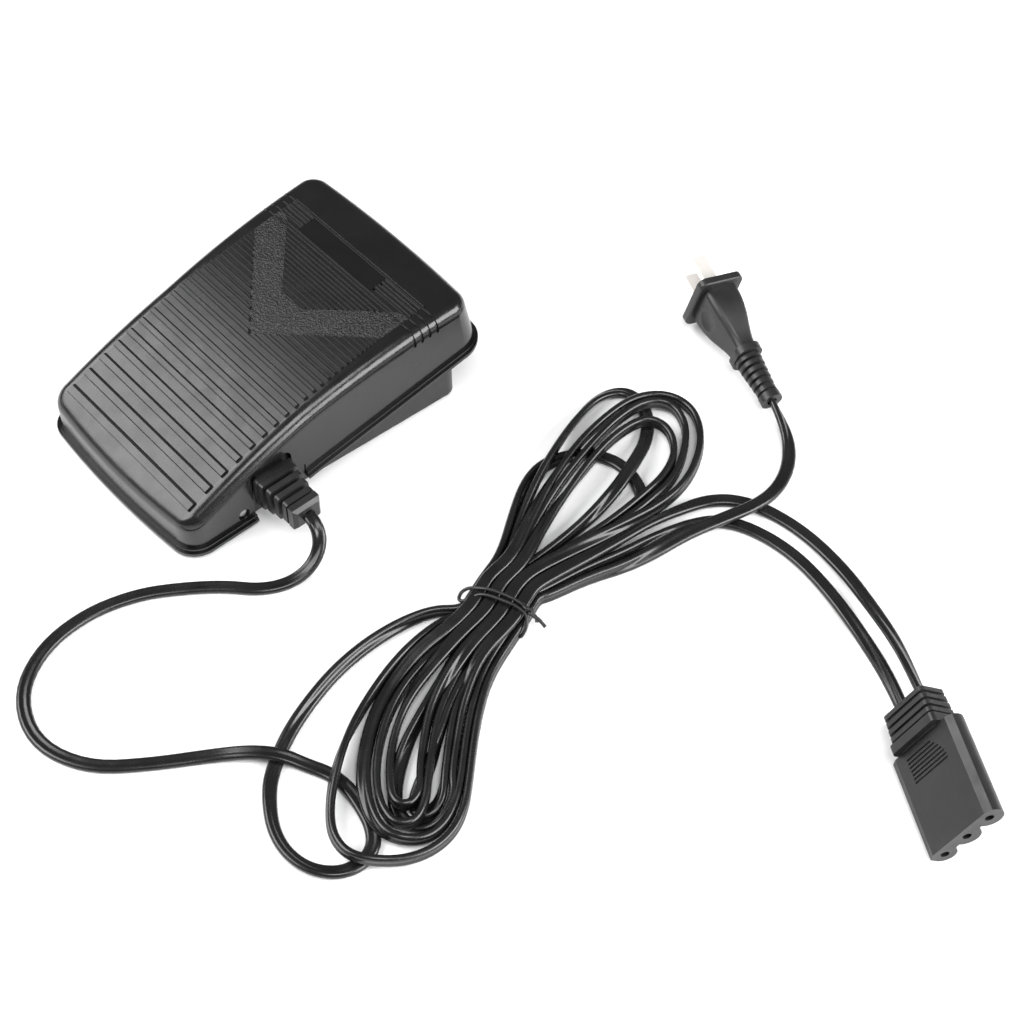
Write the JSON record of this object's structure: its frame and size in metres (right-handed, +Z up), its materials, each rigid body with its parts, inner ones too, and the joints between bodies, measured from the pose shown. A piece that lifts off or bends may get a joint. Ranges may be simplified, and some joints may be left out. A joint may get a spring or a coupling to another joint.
{
  "type": "sewing machine pedal",
  "caption": "Foot speed control for a sewing machine: a sprung treadle cover rocking on a wedge base, with flat cords tied in a hank, a machine connector and a mains plug.",
  "frame": {"origin": "centre of the pedal's footprint, on the surface that its feet stand on, with the free cords left out", "axes": "+Z up; +Y from the low heel end to the high toe end; the strain relief leaves the pedal on the +X side"},
  "size_m": [0.4182, 0.3697, 0.0562],
  "materials": {
    "cover_plastic": "black ABS, fine grain with a soft gloss",
    "base_plastic": "black ABS, fine matt grain",
    "label": "plain dark foil",
    "cord_vinyl": "smooth black vinyl, soft gloss",
    "moulded_vinyl": "moulded black vinyl, satin",
    "tie_plastic": "black vinyl over wire",
    "blade_nickel": "nickel-plated brass",
    "contact_brass": "bare brass",
    "steel": "zinc-plated steel",
    "screw_steel": "zinc-plated steel",
    "rubber": "moulded rubber",
    "board_laminate": "phenolic laminate",
    "pot_plastic": "moulded housing",
    "plunger_plastic": "natural nylon",
    "sink_aluminium": "extruded",
    "component_black": "epoxy",
    "capacitor_case": "dipped case",
    "choke_copper": "enamelled copper winding",
    "resistor_body": "lacquer",
    "terminal_green": "moulded",
    "core_insulation": "vinyl core insulation"
  },
  "bodies": {
    "base": {"base_tray": "base_plastic", "pedal_lead": "cord_vinyl", "connector_lead": "cord_vinyl", "return_lead": "cord_vinyl", "plug_lead": "cord_vinyl", "cord_hank": "cord_vinyl", "inner_lead": "cord_vinyl", "strain_relief": "moulded_vinyl", "connector_body": "moulded_vinyl", "plug_body": "moulded_vinyl", "twist_tie": "tie_plastic", "plug_blades": "blade_nickel", "connector_contacts": "contact_brass", "pivot_rod": "steel", "return_spring_left": "steel", "return_spring_right": "steel", "stop_bracket": "steel", "bracket_screw": "screw_steel", "board_screws": "screw_steel", "clamp_screws": "screw_steel", "triac_screw": "screw_steel", "terminal_screws": "screw_steel", "rubber_feet": "rubber", "stop_pads": "rubber", "circuit_board": "board_laminate", "slide_potentiometer": "pot_plastic", "cord_clamp": "plunger_plastic", "heat_sink": "sink_aluminium", "triac": "component_black", "film_capacitor": "capacitor_case", "choke_coil": "choke_copper", "resistors": "resistor_body", "terminal_block": "terminal_green", "core_wires": "core_insulation"},
    "treadle": {"treadle_cover": "cover_plastic", "label_plate": "label"},
    "slider": {"slider_plunger": "plunger_plastic"}
  },
  "joints": [
    {"name": "treadle_hinge", "type": "hinge", "parent": "base", "child": "treadle", "pos_m": [0, -0.05, 0.009], "axis": [-1, 0, 0], "range_deg": [0, 10], "stiffness_Nm_per_rad": 4, "springref_deg": -8.59, "deforming": ["return_spring_left", "return_spring_right"]},
    {"name": "plunger_slide", "type": "slide", "parent": "base", "child": "slider", "axis": [0, 0, -1], "range_m": [0, 0.0127]}
  ],
  "couplings": [
    {"joint": "plunger_slide", "follows": "treadle_hinge", "m_per_rad": 0.0724}
  ]
}
